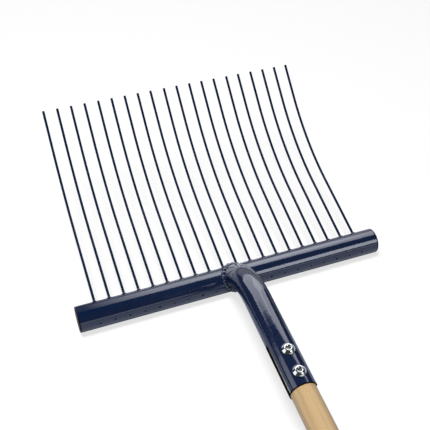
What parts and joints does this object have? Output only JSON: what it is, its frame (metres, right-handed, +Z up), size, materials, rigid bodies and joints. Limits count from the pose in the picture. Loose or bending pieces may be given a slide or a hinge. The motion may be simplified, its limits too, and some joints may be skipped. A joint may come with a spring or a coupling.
{
  "type": "manure fork",
  "caption": "Long-handled fork with a broad comb of upcurved wire tines set through a tubular crossbar, on a bent socket bolted to a wooden pole.",
  "frame": {"origin": "middle of the bounding box's base: on the floor, halfway along the fork, where it lies on its crossbar and the butt of its handle with its tines up", "axes": "+X along the crossbar to the right, +Y from the handle's butt towards the tines, +Z up from the floor"},
  "size_m": [0.434, 1.601, 0.1507],
  "materials": {
    "navy_paint": "glossy dark navy powder coat on steel",
    "black_plastic": "matt black moulded plastic",
    "ash_wood": "turned and sanded ash with a thin clear coat",
    "bright_zinc": "bright zinc plate"
  },
  "bodies": {
    "root": {"crossbar": "navy_paint", "tine_01": "navy_paint", "tine_02": "navy_paint", "tine_03": "navy_paint", "tine_04": "navy_paint", "tine_05": "navy_paint", "tine_06": "navy_paint", "tine_07": "navy_paint", "tine_08": "navy_paint", "tine_09": "navy_paint", "tine_10": "navy_paint", "tine_11": "navy_paint", "tine_12": "navy_paint", "tine_13": "navy_paint", "tine_14": "navy_paint", "tine_15": "navy_paint", "tine_16": "navy_paint", "tine_17": "navy_paint", "tine_18": "navy_paint", "tine_19": "navy_paint", "tine_20": "navy_paint", "end_plug_left": "black_plastic", "end_plug_right": "black_plastic", "socket": "navy_paint", "socket_weld": "navy_paint", "handle": "ash_wood", "bolt_front": "bright_zinc", "bolt_rear": "bright_zinc", "washer_front": "bright_zinc", "washer_rear": "bright_zinc", "nut_front": "bright_zinc", "nut_rear": "bright_zinc"}
  },
  "joints": []
}
